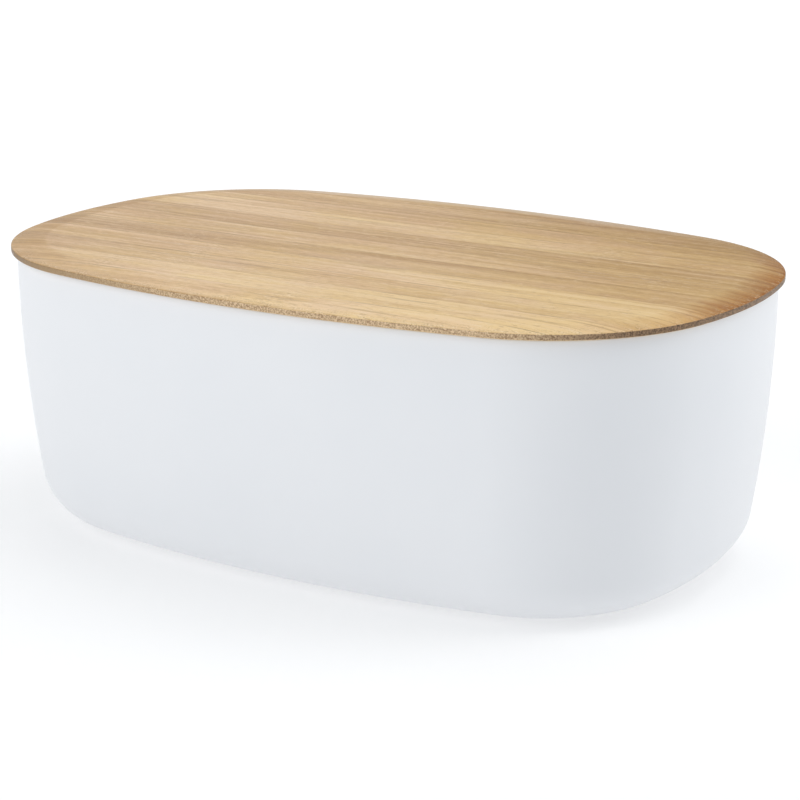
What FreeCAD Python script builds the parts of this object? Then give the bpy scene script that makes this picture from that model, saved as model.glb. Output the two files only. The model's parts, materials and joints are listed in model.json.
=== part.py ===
import FreeCAD, Part
import math
import os

# Bread bin: a one-piece melamine tub, closed by a loose lid of laminated bamboo
# that also serves as a cutting board.
#
# Millimetres. The origin is the middle of the footprint, on the surface the bin
# stands on. +X runs along the bin's length, -Y is the front, +Z is up.

Vector = FreeCAD.Vector
UP = Vector(0, 0, 1)

# The outline seen from above: eight tangent arcs, two each for the sides and ends
# and four for the corners. Every other outline is a parallel inset of this one.
LENGTH = 345.0
WIDTH = 223.0
SIDE_RADIUS = 565.0
END_RADIUS = 187.0
CORNER_RADIUS = 82.0

# Heights
FOOT_PROUD = 0.8                          # the feet lift the tub clear of the worktop
TUB_HEIGHT = 124.0
RIM_Z = FOOT_PROUD + TUB_HEIGHT

# Tub
WALL = 3.2                                # the floor is as thick as the wall
RIM_ROUND = 1.2
WALL_RADIUS = 662.0                       # upright arc of the wall, plumb at the rim
BASE_RADIUS = 26.0                        # upright arc that turns the wall into the base
FLOOR_INSET = 60.0                        # inside this the floor is a flat plate
RECESS_INSET = 53.0                       # the middle of the underside is hollowed
RECESS_DEPTH = 0.6

# Feet, in pockets under the corners of the tub
FOOT_RADIUS = 6.0
FOOT_EDGE = 0.5
FOOT_INSET = 45.0
POCKET_DEPTH = 1.2
POCKET_GAP = 0.1

# Lid, top ply: overhangs the tub, and rises from a thin edge to a flat middle
OVERHANG = 2.7
EDGE_THICKNESS = 2.6
EDGE_CHAMFER = 0.4
BORDER_WIDTH = 15.0
BORDER_RISE = 1.8
BORDER_BULGE = 0.3                        # how far the border swells above a straight slope
TOP_STRIP_WIDTH = 20.3
TOP_STRIPS_OFFSET = -1.5                  # the glued blank is trimmed a little off centre
TOP_STRIPS = 11

# Lid, lower ply: drops inside the tub
PLUG_GAP = 1.0
PLUG_DEPTH = 5.4
PLUG_CHAMFER = 0.8
BASE_STRIPS = 10

# Seal, in a groove round the lower ply
SEAL_HEIGHT = 2.2
SEAL_DROP = 1.6                           # from the rim's plane to the top of the groove
SEAL_IN_GROOVE = 1.6
SEAL_GAP = 0.05                           # to the groove's walls
SEAL_CLEAR = 0.3                          # from its lip to the tub's wall

# Worked out from the above
HALF_LENGTH = LENGTH / 2
HALF_WIDTH = WIDTH / 2
PLUG_INSET = OVERHANG + WALL + PLUG_GAP
FAR = 400.0                               # well outside the bin


def corner_arc_centre():
    """Centre of the corner arc in the +X +Y quarter: it touches the side arc and the end
    arc from inside."""
    side = Vector(0, HALF_WIDTH - SIDE_RADIUS, 0)
    end = Vector(HALF_LENGTH - END_RADIUS, 0, 0)
    from_side = SIDE_RADIUS - CORNER_RADIUS
    from_end = END_RADIUS - CORNER_RADIUS
    line = end - side
    along = (from_side**2 - from_end**2 + line.Length**2) / (2 * line.Length)
    across = math.sqrt(from_side**2 - along**2)
    line.normalize()
    normal = Vector(line.y, -line.x, 0)
    return side + line * along + normal * across


def outline_arcs():
    """(centre, radius, start angle, end angle) of the eight arcs, anticlockwise."""
    corner = corner_arc_centre()
    side = HALF_WIDTH - SIDE_RADIUS
    end = HALF_LENGTH - END_RADIUS
    low = math.atan2(corner.y, corner.x - end)
    high = math.atan2(corner.y - side, corner.x)
    half = math.pi
    turn = 2 * math.pi
    return [
        (Vector(end, 0, 0), END_RADIUS, -low, low),
        (Vector(corner.x, corner.y, 0), CORNER_RADIUS, low, high),
        (Vector(0, side, 0), SIDE_RADIUS, high, half - high),
        (Vector(-corner.x, corner.y, 0), CORNER_RADIUS, half - high, half - low),
        (Vector(-end, 0, 0), END_RADIUS, half - low, half + low),
        (Vector(-corner.x, -corner.y, 0), CORNER_RADIUS, half + low, half + high),
        (Vector(0, -side, 0), SIDE_RADIUS, half + high, turn - high),
        (Vector(corner.x, -corner.y, 0), CORNER_RADIUS, turn - high, turn - low),
    ]


OUTLINE = outline_arcs()


def on_circle(centre, radius, angle):
    return centre + Vector(math.cos(angle), math.sin(angle), 0) * radius


def plate(inset, z, thickness):
    """A flat plate with the outline moved in by inset, from z upwards."""
    edges = []
    for centre, radius, start, end in OUTLINE:
        angles = (start, (start + end) / 2, end)
        points = [on_circle(centre, radius - inset, angle) for angle in angles]
        edges.append(Part.Arc(*points).toShape())
    face = Part.Face(Part.Wire(edges))
    face.translate(Vector(0, 0, z))
    return face.extrude(UP * thickness)


def point(inset, z):
    """A point of a profile: inset runs inwards from the outline."""
    return Vector(-inset, 0, z)


def line(start, end):
    return Part.LineSegment(point(*start), point(*end)).toShape()


def arc(start, middle, end):
    return Part.Arc(point(*start), point(*middle), point(*end)).toShape()


def round_arc(centre, radius, start, end):
    """An arc of a profile. The angle is 0 straight outwards and 90 degrees downwards."""
    spots = []
    for angle in (start, (start + end) / 2, end):
        spots.append((centre[0] - radius * math.cos(angle), centre[1] - radius * math.sin(angle)))
    return arc(*spots)


def around(edges):
    """The solid ring that a closed profile makes, carried once round the outline."""
    profile = Part.Face(Part.Wire(edges))
    sectors = []
    for centre, radius, start, end in OUTLINE:
        sector = profile.copy()
        sector.translate(Vector(radius, 0, 0))
        sector.rotate(Vector(0, 0, 0), UP, math.degrees(start))
        sector.translate(centre)
        sectors.append(sector.revolve(centre, UP, math.degrees(end - start)))
    return sectors[0].fuse(sectors[1:]).removeSplitter()


def ring(outer_inset, inner_inset, z, height):
    """A ring of rectangular section."""
    return plate(outer_inset, z, height).cut(plate(inner_inset, z, height))


def wall_profile():
    """The tub's wall and the outer part of its floor, as one closed profile."""
    top = RIM_Z - RIM_ROUND
    upper = (OVERHANG + WALL_RADIUS, top)
    drop = top - FOOT_PROUD - BASE_RADIUS
    turn = math.asin(drop / (WALL_RADIUS - BASE_RADIUS))
    lower = (upper[0] - (WALL_RADIUS - BASE_RADIUS) * math.cos(turn), FOOT_PROUD + BASE_RADIUS)
    floor_z = FOOT_PROUD + WALL
    quarter = math.pi / 2
    outer_rim = (OVERHANG + RIM_ROUND, top)
    inner_rim = (OVERHANG + WALL - RIM_ROUND, top)
    return [
        round_arc(upper, WALL_RADIUS, 0, turn),
        round_arc(lower, BASE_RADIUS, turn, quarter),
        line((lower[0], FOOT_PROUD), (FLOOR_INSET, FOOT_PROUD)),
        line((FLOOR_INSET, FOOT_PROUD), (FLOOR_INSET, floor_z)),
        line((FLOOR_INSET, floor_z), (lower[0], floor_z)),
        round_arc(lower, BASE_RADIUS - WALL, quarter, turn),
        round_arc(upper, WALL_RADIUS - WALL, turn, 0),
        round_arc(inner_rim, RIM_ROUND, -math.pi, -quarter),
        line((inner_rim[0], RIM_Z), (outer_rim[0], RIM_Z)),
        round_arc(outer_rim, RIM_ROUND, -quarter, 0),
    ]


def foot_places():
    """Name and centre of each foot, on the rays from the corner arcs at 45 degrees."""
    corner = corner_arc_centre()
    reach = (CORNER_RADIUS - FOOT_INSET) * math.sqrt(0.5)
    places = {}
    for depth, y_sign in (("front", -1), ("back", 1)):
        for side, x_sign in (("left", -1), ("right", 1)):
            spot = Vector(x_sign * (corner.x + reach), y_sign * (corner.y + reach), 0)
            places[f"foot_{depth}_{side}"] = spot
    return places


def tub():
    """Wall and floor in one piece, hollowed a little underneath, with the feet's pockets."""
    shell = around(wall_profile())
    shell = shell.fuse(plate(FLOOR_INSET, FOOT_PROUD, WALL))
    shell = shell.cut(plate(RECESS_INSET, FOOT_PROUD, RECESS_DEPTH))
    for spot in foot_places().values():
        base = spot + UP * FOOT_PROUD
        shell = shell.cut(Part.makeCylinder(FOOT_RADIUS + POCKET_GAP, POCKET_DEPTH, base))
    return shell.removeSplitter()


def foot(spot):
    """A silicone disc with a rounded lower edge."""
    disc = Part.makeCylinder(FOOT_RADIUS, FOOT_PROUD + POCKET_DEPTH, spot)
    lower_edge = [edge for edge in disc.Edges if edge.BoundBox.ZMax < FOOT_EDGE]
    return disc.makeFillet(FOOT_EDGE, lower_edge)


def top_ply():
    """The board's upper ply before it is divided: thin edge, convex border, flat middle."""
    edge_top = RIM_Z + EDGE_THICKNESS
    plateau = edge_top + BORDER_RISE
    middle = (BORDER_WIDTH / 2, edge_top + BORDER_RISE / 2 + BORDER_BULGE)
    border = around([
        line((BORDER_WIDTH, RIM_Z), (EDGE_CHAMFER, RIM_Z)),
        line((EDGE_CHAMFER, RIM_Z), (0, RIM_Z + EDGE_CHAMFER)),
        line((0, RIM_Z + EDGE_CHAMFER), (0, edge_top - EDGE_CHAMFER)),
        line((0, edge_top - EDGE_CHAMFER), (EDGE_CHAMFER, edge_top)),
        arc((EDGE_CHAMFER, edge_top), middle, (BORDER_WIDTH, plateau)),
        line((BORDER_WIDTH, plateau), (BORDER_WIDTH, RIM_Z)),
    ])
    flat = plate(BORDER_WIDTH, RIM_Z, EDGE_THICKNESS + BORDER_RISE)
    return border.fuse(flat).removeSplitter()


def base_ply():
    """The board's lower ply before it is divided, with the seal's groove."""
    bottom = RIM_Z - PLUG_DEPTH
    ply = plate(PLUG_INSET, bottom, PLUG_DEPTH)
    chamfer = around([
        line((PLUG_INSET - 1, bottom - 1), (PLUG_INSET - 1, bottom + PLUG_CHAMFER + 1)),
        line((PLUG_INSET - 1, bottom + PLUG_CHAMFER + 1), (PLUG_INSET + PLUG_CHAMFER + 1, bottom - 1)),
        line((PLUG_INSET + PLUG_CHAMFER + 1, bottom - 1), (PLUG_INSET - 1, bottom - 1)),
    ])
    groove_height = SEAL_HEIGHT + 2 * SEAL_GAP
    groove_z = RIM_Z - SEAL_DROP - groove_height
    groove = ring(PLUG_INSET - 1, PLUG_INSET + SEAL_IN_GROOVE + SEAL_GAP, groove_z, groove_height)
    return ply.cut(chamfer).cut(groove)


def seal():
    """A ring with a flat back in the groove and a rounded lip towards the tub's wall."""
    lip = OVERHANG + WALL + SEAL_CLEAR
    back = PLUG_INSET + SEAL_IN_GROOVE
    top = RIM_Z - SEAL_DROP - SEAL_GAP
    bottom = top - SEAL_HEIGHT
    return around([
        line((PLUG_INSET, bottom), (back, bottom)),
        line((back, bottom), (back, top)),
        line((back, top), (PLUG_INSET, top)),
        arc((PLUG_INSET, top), (lip, (top + bottom) / 2), (PLUG_INSET, bottom)),
    ])


def strip(ply, low, high):
    """The part of a ply between two joints that run along X."""
    slab = Part.makeBox(2 * FAR, high - low, 2 * FAR, Vector(-FAR, low, -FAR))
    return ply.common(slab)


def strips(ply, joints):
    """A ply divided at its glued joints, front to back."""
    limits = [-FAR] + joints + [FAR]
    return [strip(ply, low, high) for low, high in zip(limits, limits[1:])]


def top_joints():
    first = TOP_STRIPS_OFFSET - TOP_STRIP_WIDTH * (TOP_STRIPS - 2) / 2
    return [first + TOP_STRIP_WIDTH * i for i in range(TOP_STRIPS - 1)]


def base_joints():
    half = HALF_WIDTH - PLUG_INSET
    width = 2 * half / BASE_STRIPS
    return [-half + width * i for i in range(1, BASE_STRIPS)]


def numbered(prefix, shapes):
    return {f"{prefix}_{i:02d}": shape for i, shape in enumerate(shapes, 1)}


def all_parts():
    parts = {"tub": tub(), "lid_seal": seal()}
    parts.update(numbered("lid_top_strip", strips(top_ply(), top_joints())))
    parts.update(numbered("lid_base_strip", strips(base_ply(), base_joints())))
    for name, spot in foot_places().items():
        parts[name] = foot(spot)
    return parts


def main():
    os.makedirs("parts", exist_ok=True)
    for name, shape in all_parts().items():
        solid = shape.Solids[0]
        assert len(shape.Solids) == 1 and solid.isValid(), name
        solid.exportStep(f"parts/{name}.step")
        box = solid.optimalBoundingBox()
        size = f"{box.XLength:.1f} x {box.YLength:.1f} x {box.ZLength:.2f}"
        print(f"{name}: {size} mm, z {box.ZMin:.2f} to {box.ZMax:.2f}, {solid.Volume:.0f} mm3")


main()
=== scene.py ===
import json
import math
import random

import bmesh
import bpy
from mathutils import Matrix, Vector


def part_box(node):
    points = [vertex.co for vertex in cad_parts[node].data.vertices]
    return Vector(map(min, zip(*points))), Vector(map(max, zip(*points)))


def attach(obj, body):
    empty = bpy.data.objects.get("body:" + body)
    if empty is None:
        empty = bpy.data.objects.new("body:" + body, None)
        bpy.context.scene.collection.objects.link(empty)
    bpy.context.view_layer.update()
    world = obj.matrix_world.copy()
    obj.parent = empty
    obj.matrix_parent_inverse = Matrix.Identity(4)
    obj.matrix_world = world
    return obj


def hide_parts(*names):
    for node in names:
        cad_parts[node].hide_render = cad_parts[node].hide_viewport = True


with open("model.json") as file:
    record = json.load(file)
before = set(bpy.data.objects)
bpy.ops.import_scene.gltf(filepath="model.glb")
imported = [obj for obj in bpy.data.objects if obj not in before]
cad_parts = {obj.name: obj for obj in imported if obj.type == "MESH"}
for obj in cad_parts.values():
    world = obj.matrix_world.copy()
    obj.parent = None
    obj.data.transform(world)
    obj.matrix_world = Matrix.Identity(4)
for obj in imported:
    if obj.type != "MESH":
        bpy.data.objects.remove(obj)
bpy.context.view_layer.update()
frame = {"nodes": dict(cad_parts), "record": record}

# The bread bin's looks, around its CAD frame: a melamine tub and a lid of glued bamboo
# strips. Metres. +X runs along the bin, -Y is its front, +Z is up.

NODES = frame["nodes"]
SLOTS = {part["node"]: part["material_slot"] for part in frame["record"]["subparts"]}
MM = 0.001

# Plan outline: eight tangent arcs. Every other outline is a parallel inset of it.
SIDE_RADIUS = 565 * MM
END_RADIUS = 187 * MM
CORNER_RADIUS = 82 * MM
SIDE_STEPS = 52
END_STEPS = 24
CORNER_STEPS = 40

# Tub
WALL = 3.2 * MM
WALL_RADIUS = 662 * MM
WALL_STEPS = 26
BASE_RADIUS = 26 * MM
BASE_STEPS = 28
RIM_ROUND = 1.2 * MM
RIM_STEPS = 8
FLOOR_INSET = 60 * MM
RECESS_INSET = 53 * MM
RECESS_DEPTH = 0.6 * MM
RECESS_ROUND = 0.3 * MM
STAND_ROUND = 0.25 * MM
STAND_WIDTH = 3 * MM
POCKET_RADIUS = 6.1 * MM
POCKET_DEPTH = 1.2 * MM
POCKET_STEPS = 64
TUB_SHARP = 35

# Lid
EDGE_THICKNESS = 2.6 * MM
EDGE_ROUND = 0.45 * MM
BORDER_WIDTH = 15 * MM
BORDER_BULGE = 0.3 * MM
BORDER_STEPS = 12
CREASE_ROUND = 1 * MM
PLATE_INSET = 40 * MM
PLUG_CHAMFER = 0.8 * MM
PLUG_ROUND = 0.3 * MM
GROOVE_DROP = 1.6 * MM
GROOVE_HEIGHT = 2.3 * MM
GROOVE_DEPTH = 1.65 * MM
GROOVE_ROUND = 0.1 * MM
LID_SHARP = 25

# Seal
SEAL_GAP = 0.05 * MM
SEAL_ROUND = 0.1 * MM
SEAL_SHARP = 50
FINS = 3
FIN_ROUND = 0.15 * MM
FIN_ROOT = 0.2 * MM
FIN_ROOT_ROUND = 0.12 * MM

# How dark each slot's strips are on the wood's scale, and how the strips differ
TONES = {"bamboo_light": 0.28, "bamboo_mid": 0.43, "bamboo_dark": 0.58}
TONE_SPREAD = 0.06
SHIFT_RANGE = 40

# Stage
FLOOR_REACH = 14.0
NEAR_GLOW = 0.48
FAR_GLOW = 0.85
SKY_COLOUR = (0.84, 0.92, 1.0)
SKY_STRENGTH = 0.34
WARM = (1, 0.985, 0.965)
LIGHT_TARGET = Vector((0, 0, 0.06))

# Camera: level, looking at a point near the bin's middle. The lens and sensor are in mm.
CAMERA_AZIMUTH = math.radians(31.82)
CAMERA_ELEVATION = math.radians(15.72)
CAMERA_DISTANCE = 1.0855
CAMERA_TARGET = Vector((0.0059, 0, 0.0612))
CAMERA_LENS = 110.3
CAMERA_SENSOR = 36

random.seed(7)


# ---------------------------------------------------------------- outline and sweeps

def outline_rays():
    """(centre, radius, direction) of each point round the outline, anticlockwise."""
    half_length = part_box("lid_top_strip_06")[1].x
    half_width = -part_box("lid_top_strip_01")[0].y
    side = Vector((0, half_width - SIDE_RADIUS))
    end = Vector((half_length - END_RADIUS, 0))
    line = end - side
    from_side = SIDE_RADIUS - CORNER_RADIUS
    from_end = END_RADIUS - CORNER_RADIUS
    along = (from_side**2 - from_end**2 + line.length**2) / (2 * line.length)
    across = math.sqrt(from_side**2 - along**2)
    line.normalize()
    corner = side + line * along + Vector((line.y, -line.x)) * across
    first = math.atan2(corner.y, corner.x - end.x)
    second = math.atan2(corner.y - side.y, corner.x)
    quarter = [
        (end, END_RADIUS, 0, first, END_STEPS // 2),
        (corner, CORNER_RADIUS, first, second, CORNER_STEPS),
        (side, SIDE_RADIUS, second, math.pi / 2, SIDE_STEPS // 2),
    ]
    rays = []
    for centre, radius, start, stop, steps in quarter:
        for i in range(steps):
            angle = start + (stop - start) * i / steps
            rays.append((centre, radius, Vector((math.cos(angle), math.sin(angle)))))
    rays.append((side, SIDE_RADIUS, Vector((0, 1))))
    mirrored = [(flip(c, -1, 1), r, flip(d, -1, 1)) for c, r, d in reversed(rays[:-1])]
    upper = rays + mirrored
    lower = [(flip(c, 1, -1), r, flip(d, 1, -1)) for c, r, d in reversed(upper[1:-1])]
    return upper + lower


def flip(v, x, y):
    return Vector((v.x * x, v.y * y))


RAYS = outline_rays()


def sweep(profile, closed=False):
    """A mesh that carries a profile, a list of (inset, z), once round the outline. An open
    profile's two ends are closed by flat caps."""
    bm = bmesh.new()
    rings = []
    for inset, z in profile:
        ring = []
        for centre, radius, direction in RAYS:
            spot = centre + direction * (radius - inset)
            ring.append(bm.verts.new((spot.x, spot.y, z)))
        rings.append(ring)
    following = rings[1:] + rings[:1] if closed else rings[1:]
    count = len(RAYS)
    for ring, after in zip(rings, following):
        for i in range(count):
            j = (i + 1) % count
            bm.faces.new((ring[i], ring[j], after[j], after[i]))
    if not closed:
        bm.faces.new(reversed(rings[0]))
        bm.faces.new(rings[-1])
    bmesh.ops.recalc_face_normals(bm, faces=bm.faces)
    return bm


def arc(centre, radius, start, end, steps):
    """Points of a profile's arc. The angle is 0 straight outwards and 90 degrees down."""
    points = []
    for i in range(steps + 1):
        angle = start + (end - start) * i / steps
        x = centre[0] - radius * math.cos(angle)
        z = centre[1] - radius * math.sin(angle)
        points.append((x, z))
    return points


def rounded(corners, steps=5):
    """A profile through corners (inset, z, radius), each bent over about its radius."""
    points = []
    for k, (x, z, radius) in enumerate(corners):
        if not radius:
            points.append((x, z))
            continue
        here = Vector((x, z))
        before = Vector(corners[k - 1][:2]) - here
        after = Vector(corners[(k + 1) % len(corners)][:2]) - here
        start = here + before.normalized() * radius
        end = here + after.normalized() * radius
        for i in range(steps + 1):
            t = i / steps
            spot = start * (1 - t) ** 2 + here * (2 * t * (1 - t)) + end * t**2
            points.append((spot.x, spot.y))
    return points


def piece(name, bm, material, body, sharp):
    """Turns a bmesh into an object that rides on a body. Edges that turn by more than
    sharp degrees stay crisp, and the rest is shaded smooth."""
    mesh = bpy.data.meshes.new(name)
    bm.to_mesh(mesh)
    bm.free()
    mesh.shade_smooth()
    mesh.set_sharp_from_angle(angle=math.radians(sharp))
    mesh.materials.append(material)
    thing = bpy.data.objects.new(name, mesh)
    bpy.context.scene.collection.objects.link(thing)
    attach(thing, body)
    return thing


# ---------------------------------------------------------------- materials

class Shader:
    """A material's node tree, with a short call for each kind of node used here."""

    def __init__(self, name):
        self.material = bpy.data.materials.new(name)
        self.material.use_nodes = True
        self.tree = self.material.node_tree
        self.bsdf = self.tree.nodes["Principled BSDF"]

    def node(self, kind, **settings):
        made = self.tree.nodes.new("ShaderNode" + kind)
        for key, value in settings.items():
            setattr(made, key, value)
        return made

    def put(self, socket, value):
        """Links a socket to another node's output, or sets it to a plain value."""
        if isinstance(value, bpy.types.NodeSocket):
            self.tree.links.new(value, socket)
        else:
            socket.default_value = value

    def place(self):
        """The point in the piece's own coordinates, which don't change with the pose."""
        return self.node("TexCoord").outputs["Object"]

    def normal(self):
        return self.node("TexCoord").outputs["Normal"]

    def attribute(self, name):
        return self.node("Attribute", attribute_name=name).outputs["Fac"]

    def split(self, vector):
        made = self.node("SeparateXYZ")
        self.put(made.inputs[0], vector)
        return made.outputs

    def combine(self, x, y, z):
        made = self.node("CombineXYZ")
        for socket, value in zip(made.inputs, (x, y, z)):
            self.put(socket, value)
        return made.outputs[0]

    def stretch(self, vector, x, y, z):
        made = self.node("VectorMath", operation="MULTIPLY")
        self.put(made.inputs[0], vector)
        made.inputs[1].default_value = (x, y, z)
        return made.outputs[0]

    def length(self, vector):
        made = self.node("VectorMath", operation="LENGTH")
        self.put(made.inputs[0], vector)
        return made.outputs["Value"]

    def noise(self, vector, detail=2.0, roughness=0.5):
        made = self.node("TexNoise")
        self.put(made.inputs["Vector"], vector)
        made.inputs["Scale"].default_value = 1.0
        made.inputs["Detail"].default_value = detail
        made.inputs["Roughness"].default_value = roughness
        return made.outputs[0]

    def math(self, operation, a, b=0.0, clamp=False):
        made = self.node("Math", operation=operation, use_clamp=clamp)
        self.put(made.inputs[0], a)
        self.put(made.inputs[1], b)
        return made.outputs[0]

    def remap(self, value, low, high, to_low=0.0, to_high=1.0, smooth=True):
        kind = "SMOOTHSTEP" if smooth else "LINEAR"
        made = self.node("MapRange", interpolation_type=kind)
        for socket, number in zip(made.inputs, (value, low, high, to_low, to_high)):
            self.put(socket, number)
        return made.outputs[0]

    def ramp(self, value, stops):
        made = self.node("ValToRGB")
        self.put(made.inputs[0], value)
        elements = made.color_ramp.elements
        while len(elements) < len(stops):
            elements.new(0.5)
        for element, (position, colour) in zip(elements, stops):
            element.position = position
            element.color = (*colour, 1.0)
        return made.outputs[0]

    def blend(self, factor, a, b, mode="MIX"):
        made = self.node("Mix", data_type="RGBA", blend_type=mode)
        self.put(made.inputs["Factor"], factor)
        for socket, value in ((made.inputs[6], a), (made.inputs[7], b)):
            self.put(socket, (*value, 1.0) if isinstance(value, tuple) else value)
        return made.outputs[2]

    def bump(self, height, distance):
        made = self.node("Bump")
        made.inputs["Strength"].default_value = 1.0
        made.inputs["Distance"].default_value = distance
        self.put(made.inputs["Height"], height)
        self.put(self.bsdf.inputs["Normal"], made.outputs[0])

    def finish(self, **sockets):
        """Fills the Principled shader's sockets and returns the material."""
        for name, value in sockets.items():
            socket = self.bsdf.inputs[name.replace("_", " ")]
            if isinstance(value, tuple):
                value = (*value, 1.0)
            self.put(socket, value)
        return self.material


def melamine():
    """White satin moulding: faint mottling in the gloss, and a very slight unevenness."""
    s = Shader("melamine")
    place = s.place()
    cloud = s.remap(s.noise(s.stretch(place, 14, 14, 14), detail=3), 0.1, 0.9)
    colour = s.blend(cloud, (0.80, 0.815, 0.84), (0.83, 0.84, 0.86))
    waves = s.noise(s.stretch(place, 40, 40, 40), detail=1)
    s.bump(waves, 0.00008)
    return s.finish(Base_Color=colour, Roughness=s.remap(cloud, 0, 1, 0.30, 0.38), IOR=1.5)


class Bamboo(Shader):
    """Oiled bamboo with its fibres along X. The vertices of each strip carry that strip's
    own tone, shift, joint_low, joint_high and knuckle. Colours are linear."""

    def __init__(self, name):
        super().__init__(name)
        self.here = self.place()
        self.x, self.y, self.z = self.split(self.here)
        self.along = self.fibre_space()
        self.streak = self.grain(0.11, 0.0036, -0.2, 0.2, 4.0)
        self.fleck = self.grain(0.005, 0.0013, -0.2, 0.2)
        self.fibre = self.grain(0.012, 0.0005, -0.2, 0.2)
        self.busy = self.grain(0.13, 0.017, -0.12, 0.14, 2.0)
        self.pores = self.noise(self.stretch(self.here, 1500, 1500, 1500), detail=2)
        self.facing = self.split(self.normal())
        level = self.math("ABSOLUTE", self.facing[2])
        self.upright = self.math("SUBTRACT", 1.0, level, clamp=True)

    def fibre_space(self):
        """Coordinates that wander a little sideways, and differ from strip to strip."""
        shift = self.attribute("shift")
        wander = self.noise(self.stretch(self.here, 14, 40, 40), detail=2)
        drift = self.math("MULTIPLY", self.math("SUBTRACT", wander, 0.5), 0.004)
        depth = self.math("MULTIPLY", self.z, 0.15)
        return self.combine(
            self.math("ADD", self.x, shift),
            self.math("ADD", self.y, drift),
            self.math("ADD", depth, shift),
        )

    def grain(self, length, width, low, high, detail=3.0, roughness=0.6):
        """Noise in flecks of about this length and width. Its values from 0.5 + low to
        0.5 + high are spread over 0 to 1."""
        scales = (1 / length, 1 / width, 1 / width)
        cells = self.noise(self.stretch(self.along, *scales), detail, roughness)
        return self.remap(cells, 0.5 + low, 0.5 + high)

    def multiply(self, a, b):
        return self.math("MULTIPLY", a, b)

    def ground(self):
        """The strip's tone, with broad and fine grain, and with a drift across the lid that is
        painted light and sheen: paler towards the back left and the front right, darker
        towards the back right and the front left.
        """
        broad = self.grain(0.16, 0.009, -0.2, 0.2, 2.0)
        warmth = self.grain(0.05, 0.020, -0.2, 0.2, 2.0)
        # Painted light and sheen: the tone drifts with x and with x times y, paler at the back
        # left and the front right.
        depth = self.math("ADD", self.attribute("tone"), self.multiply(self.x, 0.1))
        painted_sheen_slant = self.math("ADD", 0.9, self.multiply(self.x, 22.0))
        depth = self.math("ADD", depth, self.multiply(self.y, painted_sheen_slant))
        lively = self.remap(self.busy, 0, 1, 0.12, 0.34)
        layers = ((broad, 0.28), (self.streak, lively), (self.fleck, 0.22), (self.fibre, 0.16))
        for layer, weight in layers:
            swing = self.multiply(self.math("SUBTRACT", layer, 0.5), weight)
            depth = self.math("ADD", depth, swing)
        colour = self.ramp(depth, [
            (0.0, (0.755, 0.535, 0.30)),
            (0.45, (0.575, 0.365, 0.17)),
            (0.9, (0.40, 0.23, 0.09)),
        ])
        # Partly painted sheen: besides the random warmth, the tint turns paler and less yellow
        # towards the left.
        pinkness_and_painted_sheen = self.math("SUBTRACT", warmth, self.multiply(self.x, 2.5), clamp=True)
        tint = self.blend(pinkness_and_painted_sheen, (0.99, 0.98, 0.80), (0.985, 0.965, 0.99))
        return self.blend(1.0, colour, tint, "MULTIPLY")

    def marks(self, colour):
        """Dark lines and pale rays where the wood is busy, with dashes and glints all over."""
        lines = self.multiply(self.grain(0.09, 0.0032, 0.04, 0.16), self.busy)
        rays = self.grain(0.08, 0.0020, 0.07, 0.17, roughness=0.65)
        rays = self.multiply(rays, self.remap(self.busy, 0, 1, 0.12, 0.38))
        dashes = self.grain(0.004, 0.0012, 0.09, 0.2, 2.0)
        glints = self.grain(0.006, 0.0012, 0.09, 0.2, 2.0)
        colour = self.blend(self.multiply(lines, 0.55), colour, (0.34, 0.19, 0.075))
        colour = self.blend(rays, colour, (0.76, 0.56, 0.33))
        colour = self.blend(self.multiply(dashes, 0.4), colour, (0.38, 0.22, 0.10))
        return self.blend(self.multiply(glints, 0.4), colour, (0.80, 0.62, 0.40))

    def joints(self, colour):
        """Glued joints show as dark hairlines that come and go."""
        above = self.math("SUBTRACT", self.y, self.attribute("joint_low"))
        below = self.math("SUBTRACT", self.attribute("joint_high"), self.y)
        gap = self.math("MINIMUM", above, below)
        fade = self.noise(self.stretch(self.here, 30, 0, 0))
        fade = self.remap(fade, 0.4, 0.62, 0.1, 0.7)
        hairline = self.multiply(self.remap(gap, 0.0, 0.0006, 1.0, 0.0), fade)
        return self.blend(hairline, colour, (0.27, 0.15, 0.06))

    def knuckle(self, colour):
        """Each strip has one node of the stem: a short patch of wild speckled fibre."""
        offset = self.math("SUBTRACT", self.x, self.attribute("knuckle"))
        patch = self.remap(self.math("ABSOLUTE", offset), 0.002, 0.010, 1.0, 0.0)
        speckle = self.noise(self.stretch(self.along, 500, 1100, 1100), 3, 0.7)
        dark = self.multiply(patch, self.remap(speckle, 0.5, 0.62, 0, 0.4))
        light = self.multiply(patch, self.remap(speckle, 0.48, 0.38, 0, 0.3))
        colour = self.blend(dark, colour, (0.38, 0.22, 0.095))
        return self.blend(light, colour, (0.80, 0.62, 0.41))

    def border(self, colour):
        """The border's slope has painted shade on the left, darker and yellower, and a painted
        reflection at the back, paler. It is toasted at the right end, unevenly from streak to
        streak."""
        # Painted shade: the left-facing slope is darkened and yellowed where it catches less
        # light.
        left = self.remap(self.facing[0], 0.008, -0.035)
        colour = self.blend(left, colour, (0.86, 0.80, 0.64), "MULTIPLY")
        # Painted reflection: the back-facing slope is paled, away from the right end.
        back = self.remap(self.facing[1], 0.01, 0.12, 0.0, 0.25)
        back = self.multiply(back, self.remap(self.x, 0.13, 0.03))
        colour = self.blend(back, colour, (0.85, 0.80, 0.70))
        unevenness = self.multiply(self.math("SUBTRACT", self.streak, 0.5), 0.05)
        right = self.math("ADD", self.facing[0], unevenness)
        right = self.remap(right, 0.05, 0.195, smooth=False)
        toast = self.multiply(right, self.remap(self.y, -0.10, 0.0))
        toast = self.multiply(toast, self.remap(self.y, 0.11, 0.06))
        return self.blend(toast, colour, (0.62, 0.34, 0.0), "MULTIPLY")

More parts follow.
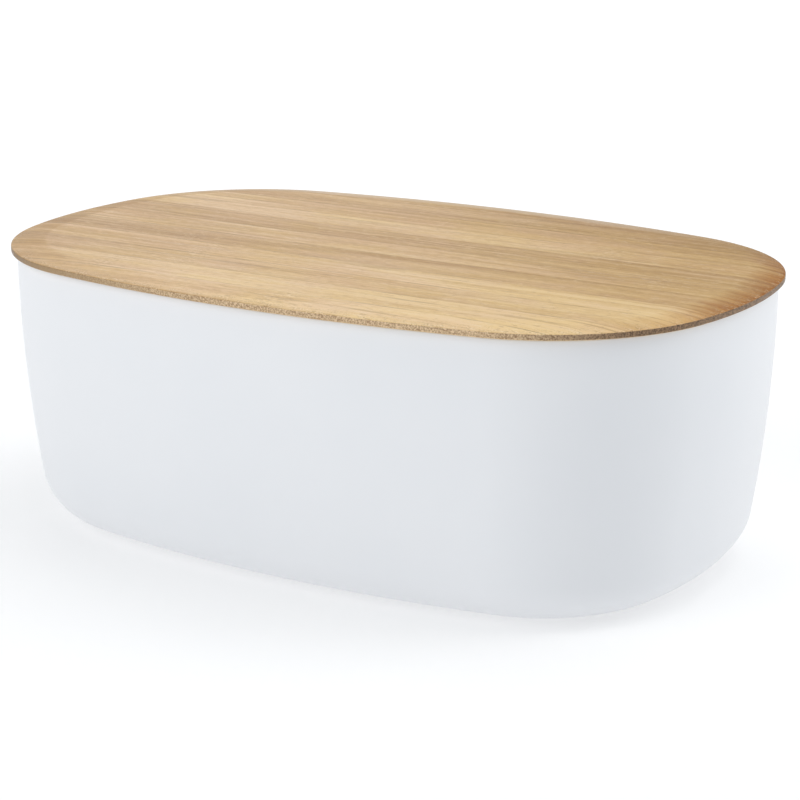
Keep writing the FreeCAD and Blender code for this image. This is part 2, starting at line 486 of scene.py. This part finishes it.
    def edge(self, colour):
        """Pores open up on the border's slope, and the cut edge is all pores: dark at the
        ends, where it shows end grain, and lighter along the sides."""
        grit = self.multiply(
            self.remap(self.upright, 0.004, 0.02, 0, 0.5), self.remap(self.fleck, 0.3, 0.8)
        )
        dark = self.multiply(grit, self.remap(self.pores, 0.5, 0.35))
        light = self.multiply(grit, self.remap(self.pores, 0.5, 0.62))
        colour = self.blend(dark, colour, (0.33, 0.2, 0.09))
        colour = self.blend(light, colour, (0.84, 0.68, 0.46))
        end = self.ramp(self.pores, [(0.35, (0.075, 0.04, 0.018)), (0.62, (0.30, 0.18, 0.09))])
        side = self.ramp(self.pores, [(0.35, (0.34, 0.205, 0.10)), (0.65, (0.74, 0.55, 0.34))])
        side = self.blend(self.remap(self.x, 0.0, -0.14), side, (0.32, 0.205, 0.095))
        to_end = self.math("ABSOLUTE", self.facing[0])
        cut = self.blend(self.remap(to_end, 0.2, 0.9), side, end)
        return self.blend(self.remap(self.upright, 0.35, 0.7), colour, cut)


def bamboo():
    wood = Bamboo("bamboo")
    colour = wood.ground()
    for layer in (wood.marks, wood.joints, wood.knuckle, wood.border, wood.edge):
        colour = layer(colour)
    open_pores = wood.multiply(wood.multiply(wood.pores, wood.upright), 1.5)
    wood.bump(wood.math("ADD", wood.fibre, open_pores), 0.00004)
    roughness = wood.remap(wood.streak, 0, 1, 0.42, 0.52)
    return wood.finish(Base_Color=colour, Roughness=roughness, IOR=1.47)


def silicone(name, colour, cloudy):
    """Soft matt silicone with a faintly milky depth and a bloom of fine dust."""
    s = Shader(name)
    dust = s.noise(s.stretch(s.place(), 700, 700, 700), detail=3)
    tint = s.blend(s.remap(dust, 0.4, 0.7, 0.0, 0.25), colour, cloudy)
    s.bump(dust, 0.00003)
    return s.finish(
        Base_Color=tint,
        Roughness=s.remap(dust, 0.3, 0.7, 0.5, 0.62),
        IOR=1.41,
        Subsurface_Weight=0.15,
        Subsurface_Scale=0.002,
    )


# ---------------------------------------------------------------- pieces

def tub_profile():
    """From the middle of the underside, up the outer wall, over the rim and down inside."""
    low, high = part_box("tub")
    base_z = low.z
    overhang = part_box("lid_top_strip_06")[1].x - high.x
    top = high.z - RIM_ROUND
    upper = (overhang + WALL_RADIUS, top)
    turn = math.asin((top - base_z - BASE_RADIUS) / (WALL_RADIUS - BASE_RADIUS))
    lower = (upper[0] - (WALL_RADIUS - BASE_RADIUS) * math.cos(turn), base_z + BASE_RADIUS)
    outer_rim = (overhang + RIM_ROUND, top)
    inner_rim = (overhang + WALL - RIM_ROUND, top)
    quarter = math.pi / 2
    profile = rounded([
        (FLOOR_INSET, base_z + RECESS_DEPTH, 0),
        (RECESS_INSET, base_z + RECESS_DEPTH, RECESS_ROUND),
        (RECESS_INSET, base_z, STAND_ROUND),
        (RECESS_INSET - STAND_WIDTH, base_z, 0),
    ])
    profile += arc(lower, BASE_RADIUS, quarter, turn, BASE_STEPS)
    profile += arc(upper, WALL_RADIUS, turn, 0, WALL_STEPS)[1:]
    profile += arc(outer_rim, RIM_ROUND, 0, -quarter, RIM_STEPS)[1:]
    profile += arc(inner_rim, RIM_ROUND, -quarter, -math.pi, RIM_STEPS)
    profile += arc(upper, WALL_RADIUS - WALL, 0, turn, WALL_STEPS)[1:]
    profile += arc(lower, BASE_RADIUS - WALL, turn, quarter, BASE_STEPS)[1:]
    profile.append((FLOOR_INSET, base_z + WALL))
    return profile


def tub(material):
    """The moulding, with a pocket in its underside for each foot."""
    shell = piece("tub_shell", sweep(tub_profile()), material, "tub", TUB_SHARP)
    base_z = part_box("tub")[0].z
    for node in NODES:
        if node.startswith("foot_"):
            low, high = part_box(node)
            middle = (low + high) / 2
            cut_pocket(shell, Vector((middle.x, middle.y, base_z)))
    shell.data.set_sharp_from_angle(angle=math.radians(TUB_SHARP))
    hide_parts("tub")


def cut_pocket(shell, spot):
    """Cuts a round pocket into the underside, with a cylinder that is half outside it."""
    bm = bmesh.new()
    bmesh.ops.create_cone(
        bm, cap_ends=True, segments=POCKET_STEPS, radius1=POCKET_RADIUS,
        radius2=POCKET_RADIUS, depth=2 * POCKET_DEPTH,
    )
    mesh = bpy.data.meshes.new("pocket")
    bm.to_mesh(mesh)
    bm.free()
    cutter = bpy.data.objects.new("pocket", mesh)
    cutter.location = spot
    bpy.context.scene.collection.objects.link(cutter)
    bpy.context.view_layer.update()
    boolean = shell.modifiers.new("pocket", "BOOLEAN")
    boolean.operation = "DIFFERENCE"
    boolean.object = cutter
    graph = bpy.context.evaluated_depsgraph_get()
    result = bpy.data.meshes.new_from_object(shell.evaluated_get(graph))
    shell.modifiers.remove(boolean)
    shell.data = result
    bpy.data.objects.remove(cutter)


def top_board():
    """The whole upper ply: thin edge, convex border and flat middle."""
    low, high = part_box("lid_top_strip_06")
    plateau = high.z
    edge_top = low.z + EDGE_THICKNESS
    corners = [
        (PLATE_INSET, low.z, 0),
        (0, low.z, EDGE_ROUND),
        (0, edge_top, EDGE_ROUND),
    ]
    for i in range(1, BORDER_STEPS):
        t = i / BORDER_STEPS
        rise = (plateau - edge_top) * t + 4 * BORDER_BULGE * t * (1 - t)
        corners.append((BORDER_WIDTH * t, edge_top + rise, 0))
    corners.append((BORDER_WIDTH, plateau, CREASE_ROUND))
    corners.append((PLATE_INSET, plateau, 0))
    return sweep(rounded(corners))


def base_board():
    """The whole lower ply: chamfered below, with the seal's groove round it."""
    low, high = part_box("lid_base_strip_05")
    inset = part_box("lid_top_strip_06")[1].x - high.x
    groove_top = high.z - GROOVE_DROP
    groove_low = groove_top - GROOVE_HEIGHT
    back = inset + GROOVE_DEPTH
    return sweep(rounded([
        (PLATE_INSET, low.z, 0),
        (inset + PLUG_CHAMFER, low.z, PLUG_ROUND),
        (inset, low.z + PLUG_CHAMFER, PLUG_ROUND),
        (inset, groove_low, GROOVE_ROUND),
        (back, groove_low, 0),
        (back, groove_top, 0),
        (inset, groove_top, GROOVE_ROUND),
        (inset, high.z, 0),
        (PLATE_INSET, high.z, 0),
    ], steps=3))


def strip(board, node, material):
    """The stretch of a board between one strip's two joints, as a closed piece."""
    low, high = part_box(node)
    bm = board.copy()
    for y, side in ((low.y, -1), (high.y, 1)):
        everything = bm.verts[:] + bm.edges[:] + bm.faces[:]
        bmesh.ops.bisect_plane(
            bm, geom=everything, dist=1e-7, plane_co=(0, y, 0), plane_no=(0, side, 0),
            clear_outer=True,
        )
        rim = [edge for edge in bm.edges if edge.is_boundary]
        if rim:
            bmesh.ops.edgeloop_fill(bm, edges=rim)
    bmesh.ops.recalc_face_normals(bm, faces=bm.faces)
    slot = SLOTS[node]
    name = node.replace("lid_", "") + "_wood"
    made = piece(name, bm, material, "lid", LID_SHARP)
    spread(made.data, "tone", TONES[slot] + random.uniform(-TONE_SPREAD, TONE_SPREAD))
    spread(made.data, "shift", random.uniform(0, SHIFT_RANGE))
    spread(made.data, "joint_low", low.y)
    spread(made.data, "joint_high", high.y)
    spread(made.data, "knuckle", random.uniform(low.x, high.x))
    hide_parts(node)


def spread(mesh, name, value):
    """Gives every vertex the same number, for the material to read."""
    attribute = mesh.attributes.new(name, "FLOAT", "POINT")
    attribute.data.foreach_set("value", [value] * len(mesh.vertices))


def seal(material):
    """Ring with a flat back and soft fins towards the tub's wall."""
    low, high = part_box("lid_seal")
    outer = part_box("lid_top_strip_06")[1].x
    lip = outer - high.x
    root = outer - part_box("lid_base_strip_05")[1].x
    back = root + GROOVE_DEPTH - SEAL_GAP
    pitch = (high.z - low.z) / FINS
    corners = [(back, high.z, 0), (back, low.z, 0), (root, low.z, SEAL_ROUND)]
    for i in range(FINS):
        middle = low.z + pitch * (i + 0.5)
        corners.append((lip, middle, FIN_ROUND))
        if i < FINS - 1:
            corners.append((root + FIN_ROOT, middle + pitch / 2, FIN_ROOT_ROUND))
    corners.append((root, high.z, SEAL_ROUND))
    ring = sweep(rounded(corners, steps=4), closed=True)
    thing = piece("seal_ring", ring, material, "lid", SEAL_SHARP)
    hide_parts("lid_seal")


def feet(material):
    """The feet keep their CAD shape and get their material."""
    for node, thing in NODES.items():
        if node.startswith("foot_"):
            thing.data.materials.clear()
            thing.data.materials.append(material)


# ---------------------------------------------------------------- stage

def floor_material():
    """Matt and pale. It glows, more so far away, so that it fades to white with only a soft
    shadow left near the bin. Its glow reaches the bin by bounces alone, because a floor
    sampled as a lamp leaves marks on the tub's underside. From below it is invisible."""
    s = Shader("floor")
    place = s.place()
    dust = s.noise(s.stretch(place, 300, 300, 300), detail=2)
    s.finish(
        Base_Color=s.ramp(dust, [(0.3, (0.51, 0.51, 0.51)), (0.7, (0.53, 0.53, 0.53))]),
        Roughness=0.9,
        IOR=1.3,
        Emission_Color=(0.985, 0.99, 1.0),
        Emission_Strength=s.remap(s.length(place), 0.3, 2.0, NEAR_GLOW, FAR_GLOW),
    )
    s.material.cycles.emission_sampling = "NONE"
    mixed = s.node("MixShader")
    s.put(mixed.inputs[0], s.node("NewGeometry").outputs["Backfacing"])
    s.put(mixed.inputs[1], s.bsdf.outputs[0])
    s.put(mixed.inputs[2], s.node("BsdfTransparent").outputs[0])
    s.put(s.tree.nodes["Material Output"].inputs[0], mixed.outputs[0])
    return s.material


def floor():
    """One large triangle round the origin, facing up."""
    turns = [math.radians(angle) for angle in (90, 210, 330)]
    corners = [(FLOOR_REACH * math.cos(t), FLOOR_REACH * math.sin(t), 0) for t in turns]
    mesh = bpy.data.meshes.new("floor")
    mesh.from_pydata(corners, [], [(0, 1, 2)])
    mesh.materials.append(floor_material())
    thing = bpy.data.objects.new("floor", mesh)
    bpy.context.scene.collection.objects.link(thing)


def direction(azimuth, elevation):
    """From the bin outwards: azimuth 0 is the front, -Y, and 90 degrees is +X."""
    flat = math.cos(elevation)
    return Vector((math.sin(azimuth) * flat, -math.cos(azimuth) * flat, math.sin(elevation)))


def aim(thing, target, back, distance):
    """Puts a light or camera at a distance from its target, looking at it, and level."""
    thing.location = target + back * distance
    thing.rotation_euler = (-back).to_track_quat("-Z", "Y").to_euler()
    bpy.context.scene.collection.objects.link(thing)


def softbox(name, azimuth, elevation, distance, size, power, colour=(1, 1, 1)):
    """A rectangular area light that faces the bin from an azimuth and elevation in degrees.
    Its power is in watts."""
    data = bpy.data.lights.new(name, "AREA")
    data.shape = "RECTANGLE"
    data.size, data.size_y = size
    data.energy = power
    data.color = colour
    back = direction(math.radians(azimuth), math.radians(elevation))
    aim(bpy.data.objects.new(name, data), LIGHT_TARGET, back, distance)


def lights():
    """A dim sky, and four soft boxes. The left and right ones leave the near corner, between
    them, a little darker than the walls."""
    world = bpy.data.worlds.new("studio")
    world.use_nodes = True
    sky = world.node_tree.nodes["Background"]
    sky.inputs["Color"].default_value = (*SKY_COLOUR, 1)
    sky.inputs["Strength"].default_value = SKY_STRENGTH
    bpy.context.scene.world = world
    softbox("left", -25, 30, 2.2, (1.6, 1.6), 19.5, WARM)
    softbox("right", 125, 30, 2.2, (1.2, 1.2), 13.5, WARM)
    softbox("above", 130, 74, 2.4, (2.2, 2.0), 29)
    softbox("behind", 228, 32, 2.4, (1.6, 1.2), 9)


def camera():
    data = bpy.data.cameras.new("camera")
    data.lens = CAMERA_LENS
    data.sensor_width = CAMERA_SENSOR
    thing = bpy.data.objects.new("camera", data)
    aim(thing, CAMERA_TARGET, direction(CAMERA_AZIMUTH, CAMERA_ELEVATION), CAMERA_DISTANCE)
    bpy.context.scene.camera = thing


def main():
    tub(melamine())
    wood = bamboo()
    top = top_board()
    base = base_board()
    for node in sorted(NODES):
        if node.startswith("lid_top_strip"):
            strip(top, node, wood)
        elif node.startswith("lid_base_strip"):
            strip(base, node, wood)
    top.free()
    base.free()
    seal(silicone("seal", (0.72, 0.72, 0.70), (0.85, 0.85, 0.84)))
    feet(silicone("foot", (0.30, 0.31, 0.32), (0.5, 0.5, 0.5)))
    floor()
    lights()
    camera()
    bpy.context.scene.view_settings.view_transform = "Standard"


main()
